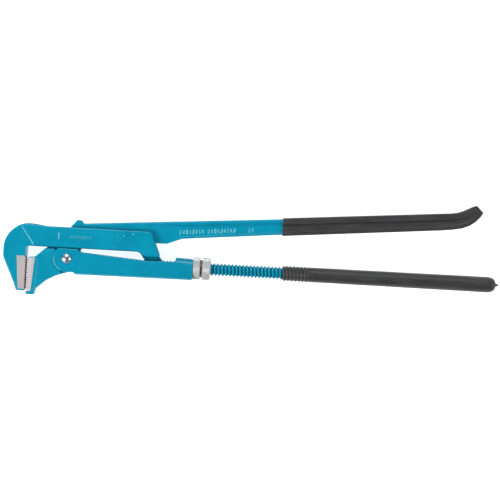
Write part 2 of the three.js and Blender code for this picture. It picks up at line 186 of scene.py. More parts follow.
def plate(name, corners, width, rounding=0.0, steps=4):
    """A plate of the given outline across the mid-plane, with its long edges rounded."""
    points = outline(corners)
    rings = [(0.0, width / 2)]
    if rounding:
        angles = [math.pi / 2 * step / steps for step in range(steps + 1)]
        rings = [(rounding * (1 - math.cos(a)), width / 2 - rounding * (1 - math.sin(a))) for a in angles]
    rings = [(inset, -z) for inset, z in reversed(rings)] + rings
    rows = [[(p.x, p.y, z) for p in inset_points(points, inset)] for inset, z in rings]
    return skin(name, rows)


def skin(name, rows, closed=False):
    """A closed surface over rings of points: flat ends, or the last ring joined to the first."""
    count = len(rows[0])
    faces = []
    for row in range(len(rows) if closed else len(rows) - 1):
        low, high = row * count, (row + 1) % len(rows) * count
        for i in range(count):
            after = (i + 1) % count
            faces.append((low + i, low + after, high + after, high + i))
    if not closed:
        faces.append(tuple(reversed(range(count))))
        faces.append(tuple((len(rows) - 1) * count + i for i in range(count)))
    return new_object(name, [point for row in rows for point in row], faces)


def block(name, low, high):
    """A plain cutting block."""
    corners = [(low[0], low[1], 0), (high[0], low[1], 0), (high[0], high[1], 0), (low[0], high[1], 0)]
    item = plate(name, corners, high[2] - low[2])
    for vertex in item.data.vertices:
        vertex.co.z += (high[2] + low[2]) / 2000
    return item


def slab(name, corners, low, high):
    """A cutting body of the outline (x, z), standing from one height in Y to another."""
    ring = outline([(z, x, 0) for x, z in corners])
    return skin(name, [[(p.y, y, p.x) for p in ring] for y in (low, high)])


def turned(name, profile, sides=64, axis="X", centre=(0.0, 0.0)):
    """A body turned from a profile of (distance along the axis, radius)."""
    rows = []
    for along, radius in profile:
        row = []
        for side in range(sides):
            angle = 2 * math.pi * side / sides
            a, b = radius * math.cos(angle), radius * math.sin(angle)
            if axis == "X":
                row.append((along, a + centre[0], b + centre[1]))
            elif axis == "Y":
                row.append((b + centre[0], along, a + centre[1]))
            else:
                row.append((a + centre[0], b + centre[1], along))
        rows.append(row)
    return skin(name, rows)


def pin(name, low, high, radius, sides, axis="X", centre=(0.0, 0.0)):
    """A plain cylinder that cuts a bore."""
    return turned(name, [(low, CLOSED), (low, radius), (high, radius), (high, CLOSED)], sides, axis, centre)


def combine(item, other, operation):
    """Joins or cuts one closed mesh with another, which is then removed.

    The second solver is tried when the first leaves nothing or changes nothing.
    """
    before = item.data
    for solver in ("MANIFOLD", "EXACT"):
        modifier = item.modifiers.new("combine", "BOOLEAN")
        modifier.operation = operation
        modifier.solver = solver
        modifier.object = other
        freeze(item)
        if len(item.data.polygons) not in (0, len(before.polygons)):
            break
        item.data = before
    else:
        raise RuntimeError(f"{item.name} could not be combined with {other.name}")
    bpy.data.objects.remove(other)


def gather(item, *others):
    """Adds other closed meshes to a mesh as they are, sunk into its surface."""
    whole = bmesh.new()
    for part in (item, *others):
        whole.from_mesh(part.data)
    whole.to_mesh(item.data)
    whole.free()
    for part in others:
        bpy.data.objects.remove(part)
    return item


def freeze(item):
    """Applies an object's modifiers to its mesh."""
    bpy.context.view_layer.update()
    graph = bpy.context.evaluated_depsgraph_get()
    mesh = bpy.data.meshes.new_from_object(item.evaluated_get(graph))
    item.modifiers.clear()
    item.data = mesh


def union(item, *others):
    """Joins closed meshes to a mesh as one solid."""
    for other in others:
        combine(item, other, "UNION")


def cut(item, *others):
    """Cuts closed meshes out of a mesh."""
    for other in others:
        combine(item, other, "DIFFERENCE")
    return item


def clean(item):
    """Merges points that lie on each other and splits the broad faces into sound triangles."""
    whole = bmesh.new()
    whole.from_mesh(item.data)
    bmesh.ops.remove_doubles(whole, verts=whole.verts, dist=MERGE_REACH)
    bmesh.ops.dissolve_degenerate(whole, edges=whole.edges, dist=MERGE_REACH)
    broad = [face for face in whole.faces if len(face.verts) > 4]
    bmesh.ops.triangulate(whole, faces=broad, quad_method="BEAUTY", ngon_method="BEAUTY")
    whole.to_mesh(item.data)
    whole.free()


def soften(item, width, segments=2):
    """Rounds the edges that the joins and cuts left sharp."""
    clean(item)
    modifier = item.modifiers.new("soften", "BEVEL")
    modifier.width = width / 1000
    modifier.segments = segments
    modifier.limit_method = "ANGLE"
    modifier.angle_limit = BEVEL_ANGLE
    modifier.use_clamp_overlap = True
    modifier.miter_outer = "MITER_ARC"
    freeze(item)
    clean(item)


def finish_piece(item, body, slot, materials, *nodes):
    """Shades a piece, gives it its materials, ties it to its body and hides the nodes that it stands for."""
    painted = [face.material_index for face in item.data.polygons]
    item.data.materials.clear()
    for material in materials:
        item.data.materials.append(material)
    for face, number in zip(item.data.polygons, painted):
        face.material_index = min(number, len(materials) - 1)
        face.use_smooth = True
    item.data.set_sharp_from_angle(angle=SHARP_ANGLE)
    item.modifiers.new("normals", "WEIGHTED_NORMAL").keep_sharp = True
    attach(item, body)
    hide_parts(*nodes)


# Materials ---------------------------------------------------------------------------------


class Finish:
    """A node tree for one finish, with short calls for the nodes that it is made of."""

    def __init__(self, name, **sockets):
        self.material = bpy.data.materials.new(name)
        self.material.use_nodes = True
        self.tree = self.material.node_tree
        self.shader = self.tree.nodes["Principled BSDF"]
        self.place = self.tree.nodes.new("ShaderNodeTexCoord").outputs["Object"]
        for socket, value in sockets.items():
            self.shader.inputs[socket.replace("_", " ")].default_value = value

    def node(self, kind, **settings):
        made = self.tree.nodes.new(kind)
        for key, value in settings.items():
            setattr(made, key, value)
        return made

    def link(self, source, target):
        self.tree.links.new(source, target)

    def stretched(self, scale):
        """The piece's own coordinates, scaled differently along each axis."""
        made = self.node("ShaderNodeMapping")
        made.inputs["Scale"].default_value = scale
        self.link(self.place, made.inputs["Vector"])
        return made.outputs["Vector"]

    def noise(self, scale, detail=3.0, vector=None):
        made = self.node("ShaderNodeTexNoise")
        made.inputs["Scale"].default_value = scale
        made.inputs["Detail"].default_value = detail
        made.inputs["Roughness"].default_value = 0.55
        self.link(vector or self.place, made.inputs["Vector"])
        return made.outputs["Fac"]

    def cells(self, scale):
        made = self.node("ShaderNodeTexVoronoi")
        made.inputs["Scale"].default_value = scale
        self.link(self.place, made.inputs["Vector"])
        return made.outputs["Distance"]

    def ramp(self, value, low, high, start=0.0, end=1.0):
        """A value spread from low..high to start..end, and held there beyond."""
        made = self.node("ShaderNodeMapRange")
        for key, number in zip(("From Min", "From Max", "To Min", "To Max"), (low, high, start, end)):
            made.inputs[key].default_value = number
        self.link(value, made.inputs["Value"])
        return made.outputs["Result"]

    def math(self, operation, first, second):
        made = self.node("ShaderNodeMath", operation=operation)
        for socket, value in zip(made.inputs, (first, second)):
            if isinstance(value, (int, float)):
                socket.default_value = value
            else:
                self.link(value, socket)
        return made.outputs["Value"]

    def mix(self, share, first, second):
        """A colour between two others, each a colour or another node's output."""
        made = self.node("ShaderNodeMix", data_type="RGBA")
        self.link(share, made.inputs["Factor"])
        for socket, value in ((made.inputs[6], first), (made.inputs[7], second)):
            if isinstance(value, tuple):
                socket.default_value = value
            else:
                self.link(value, socket)
        return made.outputs[2]

    def edges(self, radius, low=0.02, high=0.16):
        """Where the surface turns sharply within a radius: 1 along edges, 0 on flat stretches."""
        rounded = self.node("ShaderNodeBevel", samples=4)
        rounded.inputs["Radius"].default_value = radius
        flat = self.node("ShaderNodeNewGeometry").outputs["Normal"]
        dot = self.node("ShaderNodeVectorMath", operation="DOT_PRODUCT")
        self.link(rounded.outputs["Normal"], dot.inputs[0])
        self.link(flat, dot.inputs[1])
        return self.ramp(dot.outputs["Value"], 1 - low, 1 - high)

    def bump(self, height, strength, distance, before=None):
        made = self.node("ShaderNodeBump")
        made.inputs["Strength"].default_value = strength
        made.inputs["Distance"].default_value = distance
        self.link(height, made.inputs["Height"])
        if before:
            self.link(before, made.inputs["Normal"])
        return made.outputs["Normal"]

    def done(self, colour=None, roughness=None, normal=None):
        for socket, value in (("Base Color", colour), ("Roughness", roughness), ("Normal", normal)):
            if value:
                self.link(value, self.shader.inputs[socket])
        return self.material


def colour(values, lightness=1.0):
    """A linear colour with full opacity, made lighter or darker."""
    return (*(min(1.0, value * lightness) for value in values), 1.0)


def enamel():
    """Glossy enamel over forged steel: orange peel, forging waves, and a painted highlight along the edges,
    broken up by noise.
    """
    base = bpy.context.scene.wrench_finish.paint
    finish = Finish("enamel", Specular_IOR_Level=0.12, Coat_Weight=0.3, Coat_Roughness=0.1)
    patches = finish.ramp(finish.noise(45, 4), 0.3, 0.7)
    tone = finish.mix(patches, colour(base, 0.9), colour(base, 1.08))
    broken = finish.ramp(finish.noise(420, 3), 0.35, 0.65, 0.4, 1)
    # Painted highlight: the edges are lightened towards a pale cyan.
    edge_highlight = finish.math("MULTIPLY", finish.edges(0.0011), broken)
    tone = finish.mix(edge_highlight, tone, (0.04, 0.52, 0.68, 1))
    rough = finish.ramp(finish.noise(260, 4), 0.3, 0.7, 0.24, 0.4)
    forged = finish.bump(finish.noise(130, 3), 0.5, 0.0007)
    peel = finish.bump(finish.noise(950, 2), 0.25, 0.00012, forged)
    return finish.done(tone, rough, peel)


def painted_highlight_enamel():
    """Enamel lightened to paint the highlights on raised marks, nibs and some rounded edges, patchy with
    noise.
    """
    finish = Finish("painted_highlight_enamel", Specular_IOR_Level=0.4, Coat_Weight=0.3, Coat_Roughness=0.1)
    highlight_mottle = finish.ramp(finish.noise(900, 3), 0.35, 0.65)
    tone = finish.mix(highlight_mottle, (0.02, 0.36, 0.5, 1), (0.2, 0.68, 0.8, 1))
    peel = finish.bump(finish.noise(1200, 2), 0.2, 0.0001)
    return finish.done(tone, finish.ramp(highlight_mottle, 0, 1, 0.25, 0.45), peel)


def shaded_enamel():
    """Enamel darkened as painted shade at the bottom of the thread, on the neck under the foot and along the
    shank's lower edge.
    """
    base = bpy.context.scene.wrench_finish.paint
    finish = Finish("shaded_enamel", Specular_IOR_Level=0.1)
    shade_mottle = finish.ramp(finish.noise(350, 4), 0.3, 0.7)
    tone = finish.mix(shade_mottle, colour(base, 0.48), colour(base, 0.68))
    return finish.done(tone, finish.ramp(shade_mottle, 0, 1, 0.4, 0.6), finish.bump(shade_mottle, 0.2, 0.00006))


def faint_print():
    """A faded print over the enamel."""
    finish = Finish("faint_print", Specular_IOR_Level=0.25)
    faded = finish.ramp(finish.noise(700, 3), 0.35, 0.65)
    tone = finish.mix(faded, (0.01, 0.3, 0.44, 1), (0.075, 0.33, 0.44, 1))
    return finish.done(tone, finish.ramp(faded, 0, 1, 0.35, 0.5), finish.bump(faded, 0.1, 0.00004))


def ground_steel(name="ground_steel", lightness=1.0):
    """Bare hardened steel with fine grinding lines and a slightly warm, mottled tone."""
    base = bpy.context.scene.wrench_finish.steel
    finish = Finish(name, Metallic=0.35)
    lines = finish.noise(1, 3, finish.stretched((2600, 60, 2600)))
    patches = finish.noise(160, 3)
    dark, pale = colour(base, 0.86 * lightness), colour(base, 1.1 * lightness)
    tone = finish.mix(finish.ramp(lines, 0.3, 0.7), dark, pale)
    tone = finish.mix(finish.ramp(patches, 0.45, 0.75, 0, 0.35), tone, (0.5, 0.42, 0.42, 1))
    rough = finish.ramp(finish.math("ADD", lines, patches), 0.7, 1.3, 0.34, 0.52)
    return finish.done(tone, rough, finish.bump(lines, 0.4, 0.00006))


def fresh_steel():
    """The same steel, ground more lately and so brighter."""
    return ground_steel("fresh_steel", 1.25)


def painted_tooth_shade():
    """Painted shade on the milled flanks of the teeth, where the gap between the closed jaws lies in shadow.
    """
    finish = Finish("painted_tooth_shade", Metallic=0.5)
    grain = finish.noise(1500, 3)
    tone = finish.mix(finish.ramp(grain, 0.3, 0.7), (0.012, 0.011, 0.011, 1), (0.04, 0.037, 0.036, 1))
    return finish.done(tone, finish.ramp(grain, 0.3, 0.7, 0.5, 0.7), finish.bump(grain, 0.3, 0.00005))


def painted_groove_shade():
    """Plating darkened as painted shade in the nut's groove."""
    finish = Finish("painted_groove_shade", Metallic=0.6)
    shade_mottle = finish.ramp(finish.noise(500, 4), 0.35, 0.65)
    tone = finish.mix(shade_mottle, (0.09, 0.085, 0.08, 1), (0.3, 0.3, 0.29, 1))
    return finish.done(tone, finish.ramp(shade_mottle, 0, 1, 0.45, 0.6), finish.bump(shade_mottle, 0.2, 0.00005))


def zinc():
    """Bright plating with a fine crystal mottle and turning lines."""
    base = bpy.context.scene.wrench_finish.zinc
    finish = Finish("zinc", Metallic=0.4)
    crystals = finish.cells(700)
    turning = finish.noise(1, 2, finish.stretched((5200, 120, 120)))
    tone = finish.mix(finish.ramp(crystals, 0.0, 0.9), colour(base, 1.12), colour(base, 0.84))
    rough = finish.ramp(finish.math("ADD", crystals, turning), 0.5, 1.4, 0.35, 0.5)
    return finish.done(tone, rough, finish.bump(turning, 0.3, 0.00004))


def bright_rivet():
    """A pressed and polished rivet head with faint rings and smears."""
    finish = Finish("bright_rivet", Metallic=1.0)
    smears = finish.noise(600, 4)
    tone = finish.mix(finish.ramp(smears, 0.3, 0.7), (0.66, 0.69, 0.73, 1), (0.83, 0.85, 0.88, 1))
    rough = finish.ramp(smears, 0.3, 0.7, 0.2, 0.34)
    return finish.done(tone, rough, finish.bump(finish.noise(2600, 2), 0.1, 0.00003))


def spring_steel():
    """Blued spring steel with rolling lines."""
    finish = Finish("spring_steel", Metallic=0.9)
    lines = finish.noise(1, 3, finish.stretched((90, 90, 3000)))
    tone = finish.mix(finish.ramp(lines, 0.3, 0.7), (0.07, 0.08, 0.11, 1), (0.16, 0.17, 0.2, 1))
    return finish.done(tone, finish.ramp(lines, 0.3, 0.7, 0.28, 0.45), finish.bump(lines, 0.3, 0.00004))


def dipped_vinyl():
    """Dipped black vinyl: satin, with soft runs, a fine grain and grey scuffs on its edges."""
    base = bpy.context.scene.wrench_finish.vinyl
    finish = Finish("dipped_vinyl", Specular_IOR_Level=0.42)
    runs = finish.noise(1, 3, finish.stretched((35, 190, 190)))
    grain = finish.noise(1700, 3)
    specks = finish.ramp(finish.noise(2300, 1), 0.68, 0.76)
    tone = finish.mix(finish.ramp(runs, 0.3, 0.7), colour(base, 0.8), colour(base, 1.25))
    tone = finish.mix(finish.math("MULTIPLY", specks, 0.5), tone, (0.16, 0.16, 0.165, 1))
    patchy = finish.ramp(finish.noise(500, 4), 0.45, 0.7, 0, 0.6)
    scuffs = finish.math("MULTIPLY", finish.edges(0.0014), patchy)
    tone = finish.mix(scuffs, tone, (0.12, 0.12, 0.125, 1))
    rough = finish.ramp(finish.math("ADD", runs, grain), 0.7, 1.3, 0.38, 0.58)
    waves = finish.bump(runs, 0.3, 0.0005)
    return finish.done(tone, rough, finish.bump(grain, 0.3, 0.00008, waves))


def floor_paper():
    """Pale studio paper with a barely visible fibre."""
    finish = Finish("floor_paper", Specular_IOR_Level=0.1, Emission_Strength=0.82)
    finish.shader.inputs["Emission Color"].default_value = (1, 1, 1, 1)
    fibre = finish.noise(900, 3)
    tone = finish.mix(finish.ramp(fibre, 0.3, 0.7), (0.7, 0.7, 0.7, 1), (0.74, 0.74, 0.74, 1))
    return finish.done(tone, finish.ramp(fibre, 0.3, 0.7, 0.8, 0.9))


def shared(make):
    """One material of each kind, made when it is first asked for."""
    return bpy.data.materials.get(make.__name__) or make()


# Shapes of the pieces ----------------------------------------------------------------------


def toothed_edge(tip, depth, top):
    """Corners of a toothed jaw face from its top down, with the tips on the line X = tip."""
    edge = []
    for tooth in range(TEETH):
        y = top - tooth * TOOTH_PITCH
        edge.append((tip + depth, y, 0))
        edge.append((tip, y - TOOTH_PITCH * 0.55, 0))
    edge.append((tip + depth, top - TEETH * TOOTH_PITCH, 0))
    return edge


def screw_thread(name, start, length, root, crest, sides=40, samples=10):
    """A right-hand thread with rounded crests and roots, closed at both ends."""
    rows = math.ceil(length / PITCH) * samples
    points = []
    index = {}
    first = math.floor(start / PITCH) * PITCH

    def vertex(row, side):
        if side == sides:
            row, side = row + samples, 0
        if (row, side) not in index:
            angle = 2 * math.pi * side / sides
            phase = (row % samples) / samples
            swell = 0.5 - 0.5 * math.cos(2 * math.pi * phase)
            radius = root + (crest - root) * min(1.0, max(0.0, 1.25 * swell - 0.1))
            x = first + PITCH * (row / samples + side / sides)
            index[row, side] = len(points)
            points.append((x, radius * math.cos(angle), radius * math.sin(angle)))
        return index[row, side]

    faces = []
    for row in range(rows):
        for side in range(sides):
            low = (vertex(row, side), vertex(row, side + 1))
            high = (vertex(row + 1, side + 1), vertex(row + 1, side))
            faces.append((*low, *high))
    for row, direction, x in ((0, 1, first - PITCH), (rows, -1, first + PITCH * (rows / samples + 2))):
        rim = [vertex(row, side) for side in range(sides + 1)]
        rim += [vertex(row + samples - step, 0) for step in range(1, samples)]
        middle = len(points)
        points.append((x, 0.0, 0.0))
        for here, after in zip(rim, rim[1:] + rim[:1]):
            faces.append((middle, after, here) if direction > 0 else (middle, here, after))
    return new_object(name, points, faces)


def is_edge(face, low=0.15, high=0.92):
    """Whether a face is part of a rounded edge, between the flat sides and the walls."""
    return low < abs(face.normal.z) < high


def on_line(face, start, end, reach=0.0012):
    """Whether a face lies along the line between two points (x, y) of the tool."""
    first, last = place(*start, 0).xy, place(*end, 0).xy
    along = (last - first).normalized()
    offset = face.center.xy - first
    return abs(along.cross(offset)) < reach and 0 < along.dot(offset) < (last - first).length


def reach_from_axis(face):
    """A face's distance from the rod's axis, in millimetres."""
    return math.hypot(face.center.y - AXIS_Y, face.center.z - MIDDLE_Z) * 1000


def paint_faces(item, number, chosen=lambda face: True):
    """Gives the chosen faces another of their piece's materials."""
    for face in item.data.polygons:
        if chosen(face):
            face.material_index = number
    return item


def raised_marks(spots, height, material):
    """Small raised lozenges (x, y, long, tall, lean, width of the piece there), in place of lettering.

    Each is one bar through the whole width and shows on both sides. On the shank the bars also cross
    the open slot, and run through the slot plate of the lever in it.
    """
    marks = []
    for number, (x, y, long, tall, lean, surface) in enumerate(spots):
        corners = [
            (x - long / 2 - lean, y - tall / 2, 0.2),
            (x + long / 2 - lean, y - tall / 2, 0.2),
            (x + long / 2 + lean, y + tall / 2, 0.2),
            (x - long / 2 + lean, y + tall / 2, 0.2),
        ]
        mark = plate(f"mark_{number}", corners, surface + 2 * height, 0.15, 2)
        marks.append(paint_faces(mark, material))
    return marks


def hook_lever():
    """Hook head, two-cheeked shank, foot, threaded rod and lower handle core, as one forging."""
    head = plate("hook_lever_body", [
        (-24, SHANK_TOP, 0),
        (-38, 40.8, 16),
        (-52.6, 41.3, 24),
        (-72, 25.2, 28),
        (-72, 2.2, 12),
        (-58.4, -27, 8),
        (-55.6, LEDGE_Y - 2, 2.4),
        (-46.5, LEDGE_Y - 2, 0),
        (-45.8, 2, 0),
        (-45.7, SHANK_BOTTOM, 1.6),
        (-24, SHANK_BOTTOM, 0),
    ], HEAD_WIDTH, 1.4)
    pocket = plate("pocket", [
        (-56.5, 4, 0), (-30, 4, 0), (-30, HOOK_TEETH_TOP, 0), (-44, HOOK_TEETH_TOP, 0),
        (-44, LEDGE_Y - 0.1, 0), (-53.5, LEDGE_Y - 0.1, 0),
    ], HEAD_WIDTH + 4)
    shank = plate("shank", [
        (-53.2, 37.3, 0),
        (-38.2, 16.3, 3),
        (-30, SHANK_BOTTOM, 6),
        (80, SHANK_BOTTOM, 6),
        (87, 10.5, 3),
        (105.4, 10.5, 1.7),
        (93.5, SHANK_TOP, 5),
        (-27, SHANK_TOP, 20),
        (-49.5, 40.2, 4),
    ], SHANK_WIDTH, 1.5)
    neck = plate("neck", [
        (82, 14.2, 0), (87.3, 6.8, 1.5), (87.3, -6.6, 4), (108, -6.6, 3), (108, 6.2, 3), (102, 13, 0),
    ], 14, 1)
    # The neck, seen in the recess under the foot, takes the painted shade.
    paint_faces(neck, SHADED)
    thread = screw_thread("thread", 106, 170, 5.35, 7.35)
    # The roots of the thread take the painted shade.
    paint_faces(thread, SHADED, lambda face: reach_from_axis(face) < 5.9)
    bar = turned("bar", [
        (266, CLOSED), (266, 5.3), (273, 6.9), (478, 6.9), (481, 5.4), (482, 3.2), (482, CLOSED),
    ], 48)
    slot = block("slot", (-31, 14.6, -SLOT_HALF), (120, 60, SLOT_HALF))
    through = block("through", (-31, 0, -SLOT_HALF), (80, 20, SLOT_HALF))
    cut(head, pocket)
    union(head, shank)
    cut(head, slot, through)
    soften(head, 0.5)
    # Painted highlights along the crease where the shank meets the head, and along the inner rounded edge of
    # the throat.
    for start, end in (((-51, 34.6), (-39, 18.4)), ((-46.4, 14.5), (-46.5, 4.2))):
        paint_faces(head, PAINTED_HIGHLIGHT, lambda face: is_edge(face) and on_line(face, start, end))
    # Painted shade along the rounded lower edge of the shank and down to the foot.
    for start, end in (((-36, 15.9), (81, 15.9)), ((80, 15.6), (88, 10))):
        paint_faces(head, SHADED, lambda face: is_edge(face, 0.1, 0.96) and on_line(face, start, end, 0.0016))
    gather(head, neck, bar, thread)
    # The raised mark on the shank takes the painted highlight.
    gather(head, *raised_marks([(-10.0, 28.2, 1.5, 7.2, 0.25, SHANK_WIDTH)], 0.5, PAINTED_HIGHLIGHT))
    strokes = []
    for number in range(8):
        strokes.append((3.5 + 3.1 * number, 27.9, 1.3 + 0.5 * (number % 2), 3.4, 0.2, SHANK_WIDTH))
    gather(head, *raised_marks(strokes, 0.06, PRINT))
    # The nibs are turned pins through both cheeks, and cross the slot as the marks do. They take the painted
    # highlight.
    side, crown = SHANK_WIDTH / 2, SHANK_WIDTH / 2 + 0.3
    for x, y, size in (
        (56, 31.3, 1.0), (59.5, 29.5, 0.8), (62.8, 32.4, 1.2), (57.2, 27.2, 0.8), (73.5, 34.9, 1.4),
    ):
        profile = [(-crown, CLOSED), (-side, size / 2), (side, size / 2), (crown, CLOSED)]
        gather(head, paint_faces(turned("nib", profile, 12, "Z", (x, y)), PAINTED_HIGHLIGHT))
    return head


def handle_corners(inset):
    """Corners of the upper handle's side view, each face set in by the given amount."""
    return [
        (238, 41.8 + inset, 0),
        (419.5, 58.2 + inset, 30),
        (449.5, 61.2 + inset, 24),
        (465.5 - inset, 77.5 + inset * 0.5, 1.6),
        (467 - inset, 80.6 - inset * 0.5, 1.6),
        (458.6, 89.2 - inset, 2.6),
        (438.5, 78.8 - inset, 26),
        (420, 77.4 - inset, 0),
        (238, 62.3 - inset, 0),
    ]


def jaw_lever():
    """Lever jaw, pivot boss, slot plate, beak and the ribbed core of the upper handle."""
    core = handle_corners(1.4)
    beak = [(16.6, 43.8, 2), (14.9, 47.2, 2), (9.5, 47.8, 2.5), (2.3, 39.1, 0)]
    side = [
        (-34, 4.6, 0), (-34, -11, 0), (-26, -22, 0), (-4, -13.5, 6), (10, -9, 7), (13.6, 5, 5),
        (15.2, 16.2, 4), (TAPER_START, 26, 6), (111.5, 26, 8), (128.5, 32.6, 12), *core, *beak,
    ]
    web = plate("lever_body", side, LEVER_WEB)
    body = plate("slot_plate", side, SLOT_PLATE, 0.8)
    zone = slab("zone", [
        (-50, -10), (TAPER_START, -SLOT_PLATE / 2), (TAPER_END, -LEVER_WEB / 2),
        (TAPER_END, LEVER_WEB / 2), (TAPER_START, SLOT_PLATE / 2), (-50, 10),
    ], -50, 60)
    combine(body, zone, "INTERSECT")
    flange = plate("flange", [
        (17.5, 43.8, 0), (17.5, 40.2, 0), (26, 39.7, 0), (238, 56.1, 0), (420, 71, 20),
        (440, 73.4, 0), (448, 75, 0), *core[3:8], (238, 60.9, 0),
    ], 10.8, 1.5)
    rim = plate("rim", [
        (99, 26.1, 0), (111.5, 26.1, 8), (128.5, 32.7, 12), *core[:4], (455, 80, 0), (443, 70, 0),
        (420, 62.6, 0), (238, 46.2, 0), (128.5, 35.6, 12), (111.5, 29, 8), (99, 29, 0),
    ], 8.2, 1.2)
    jaw = plate("jaw", [
        (-44, JAW_TOP + 1.4, 1.5), (-35.6, 3.7, 3), (-24.4, 13.8, 2), (-14, 13.8, 0), (-8, 0, 0),
        (-5.4, -14.2, 0), (-12, -16.6, 6), (-23, -22.6, 10), (-34, -32.6, 4), (-34.9, -39.3, 1.8),
        (-44.5, -39.3, 1.7), (-44.5, -36.8, 0),
    ], HEAD_WIDTH - 1.4, 1.4)
    holder = plate("holder", [
        (-44, JAW_TOP + 1.4, 1), (-36, 3.5, 1), (-33.6, 2.4, 1), (-32.7, -8, 6), (-34.9, -39.3, 1.8),
        (-44.5, -39.3, 1.7), (-44.5, -36.8, 0),
    ], HEAD_WIDTH, 0.9)
    lobe_room = pin("lobe_room", -20, 20, 15.5, 96, "Z", PIVOT)
    boss = plate("boss", [
        (-20, 10, 0), (-24, -20, 0), (-12, -16.6, 6), (2, -12, 8), (12.5, -8, 8),
        (12.5, 13.6, 8), (-16, 13.6, 3),
    ], 15, 0.8)
    pocket = plate("pocket", [
        (-50, JAW_TOP + 0.2, 0), (-50, -36.1, 0), (-38.7, -35.8, 0), (-35.6, JAW_TOP + 0.7, 0),
    ], HEAD_WIDTH + 4)
    bore = pin("bore", -20, 20, 4.3, 48, "Z", PIVOT)
    cut(jaw, lobe_room)
    union(jaw, holder, boss, body, web, flange, rim)
    cut(jaw, pocket, bore)
    soften(jaw, 0.45)
    # A painted highlight along the rounded edge beside the jaw plate.
    paint_faces(jaw, PAINTED_HIGHLIGHT, lambda face: is_edge(face) and on_line(face, (-33.1, 0.5), (-34.3, -31)))
    bars = []
    for first, count in ((126.5, 8), (158.5, 9), (204, 2)):
        for number in range(count):
            x = first + number * 3.6
            long, tall = 1.3 + (number % 3) * 0.45, 5.2 - (number % 2) * 1.4
            y, lean = 40.0 + (x - 127) * 0.085, 0.5 - (number % 4) * 0.3
            share = max(0.0, TAPER_END - x) / (TAPER_END - TAPER_START)
            bars.append((x, y, long, tall, lean, LEVER_WEB + (SLOT_PLATE - LEVER_WEB) * share))
    # The raised marks take the painted highlight.
    return gather(jaw, *raised_marks(bars, 0.45, PAINTED_HIGHLIGHT))


def slide_housing():
    """Channel with two pivot lobes in front and a sleeve round the rod behind."""
    low, half, sleeve, inside = -14.5, 12.0, 122.7, 7.8
    lobe_radius = 15.1
    arc = [math.radians(132 + 4.6 * step) for step in range(29)]
    lobe = [(PIVOT[0] + lobe_radius * math.cos(a), PIVOT[1] + lobe_radius * math.sin(a), 0) for a in arc]
    body = plate("slide_housing_body", [
        (-7, 14.7, 2), *lobe, (8, -11.8, 0), (10.8, low, 1),
        (142.5, low + 1.1, 1.6), (142.5, 10.6, 1.6), (sleeve, 11.3, 1.6), (sleeve, 6.4, 2), (88, 5.7, 12),
        (15, 11.3, 2), (12.4, 14.7, 2),
    ], 2 * half, 1.2)
    sections = []
    for x, top, radius, sole in (
        (-30, 20, 0.5, 0), (sleeve, 20, 0.5, 0.9), (sleeve, 11.3, 8, 0.9), (160, 10, 8, 1.2),
    ):
        floor = low + sole
        corners = [(-half, floor, 6), (half, floor, 6), (half, top, radius), (-half, top, radius)]
        ring = outline(corners, fixed=8)
        sections.append([(x, p.y, -p.x) for p in ring])
    combine(body, skin("envelope", sections), "INTERSECT")
    channel = block("channel", (9, -10.6, -inside), (sleeve - 3.5, 40, inside))
    fork = block("fork", (-30, -40, -inside), (10, 40, inside))
    bore = pin("bore", 100, 150, 7.75, 64)
    pivot_bore = pin("pivot_bore", -20, 20, 4.2, 48, "Z", PIVOT)
    rivet_bore = pin("rivet_bore", -30, 0, 1.7, 24, "Y", SPRING_RIVET)
    cut(body, channel, fork, bore, pivot_bore, rivet_bore)
    soften(body, 0.7, 3)

    # The rounded rim of the lobes round the pivot, which takes the painted highlight.
    def worn(face):
        spoke = (face.center.xy - place(*PIVOT, 0).xy) * 1000
        on_rim = 14 < spoke.length < 15.3 and -14 < spoke.y < 3 and spoke.x < -3
        return is_edge(face) and on_rim

    return paint_faces(body, PAINTED_HIGHLIGHT, worn)


def dome(base, radius, height, steps=10):
    """The profile of a domed head from its rim to its crown."""
    side = math.copysign(1, base)
    angles = [math.pi / 2 * step / steps for step in range(steps + 1)]
    return [(base + side * height * math.sin(a), max(radius * math.cos(a), CLOSED)) for a in angles]


def pivot_rivet():
    """Rivet through both lobes, with a domed head on each side."""
    seat, head, height, shaft = 12.05, 5.6, 3.1, 4.0
    top, bottom = dome(seat, head, height), dome(-seat, head, height)[::-1]
    return turned("pivot_rivet_body", [*bottom, (-seat, shaft), (seat, shaft), *top], 64, "Z", PIVOT)


def adjusting_nut():
    """Two knurled rings with a groove between them, threaded on the rod."""
    sizes = bpy.context.scene.wrench_sizes
    teeth, depth = sizes.knurl_teeth, sizes.knurl_depth * 1000
    front, radius = 142.8, 12.5
    groove, after, rear = front + 7.8, front + 10.5, front + 19.8
    stations = [
        (front, 7.7, 0), (front, 11.9, 0), (front + 0.35, 12.35, 0.3), (front + 0.8, radius, 1),
        (groove - 0.7, radius, 1), (groove - 0.3, 12.35, 0.3), (groove, 12.0, 0), (groove, 10.1, 0),
        (groove + 0.3, 9.9, 0), (after - 0.3, 9.9, 0), (after, 10.1, 0), (after, 12.0, 0),
        (after + 0.3, 12.35, 0.3), (after + 0.7, radius, 1), (rear - 1.8, radius, 1),
        (rear - 1.2, 12.4, 0.3), (rear - 0.1, 11.1, 0), (rear, 10.8, 0), (rear, 7.7, 0),
    ]
    per_tooth = 4
    count = teeth * per_tooth
    rows = []
    for x, r, knurl in stations:
        row = []
        for side in range(count):
            cut_in = depth * knurl * (0.0, 0.35, 1.0, 0.35)[side % per_tooth]
            angle = 2 * math.pi * side / count
            row.append((x, (r - cut_in) * math.cos(angle), (r - cut_in) * math.sin(angle)))
        rows.append(row)
    nut = skin("adjusting_nut_body", rows, closed=True)
    # The faces in the groove take the painted shade.
    groove_x = [place(x, 0, 0).x for x in (groove - 0.01, after + 0.01)]
    return paint_faces(nut, GROOVE, lambda face: groove_x[0] < face.center.x < groove_x[1])


